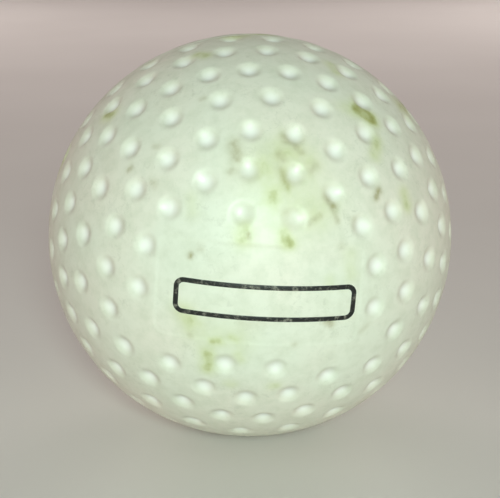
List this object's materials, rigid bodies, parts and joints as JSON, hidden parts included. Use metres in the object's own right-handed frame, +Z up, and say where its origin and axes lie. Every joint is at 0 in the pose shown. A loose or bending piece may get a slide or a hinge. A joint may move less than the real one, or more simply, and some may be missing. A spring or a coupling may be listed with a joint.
{
  "type": "field hockey ball",
  "caption": "Field hockey ball with a dimpled off-white plastic cover welded around a cork and yarn core, and a smooth panel that carries a plain printed frame.",
  "frame": {"origin": "centre of the ball", "axes": "+Z up, -Y out through the middle of the print panel, +X to the right of the panel seen from the front; the cover halves part on the XZ plane"},
  "size_m": [0.073, 0.0729, 0.073],
  "materials": {
    "cover": "satin moulded plastic, scuffed and grass stained",
    "ink": "hot-stamped ink, slightly worn",
    "yarn": "tightly wound wool yarn",
    "cork": "pressed granulated cork",
    "nucleus": "moulded cork and rubber"
  },
  "bodies": {
    "root": {"cover_front": "cover", "cover_back": "cover", "print_frame": "ink", "outer_winding": "yarn", "cork_cup_upper": "cork", "cork_cup_lower": "cork", "inner_winding": "yarn", "core_nucleus": "nucleus"}
  },
  "joints": []
}
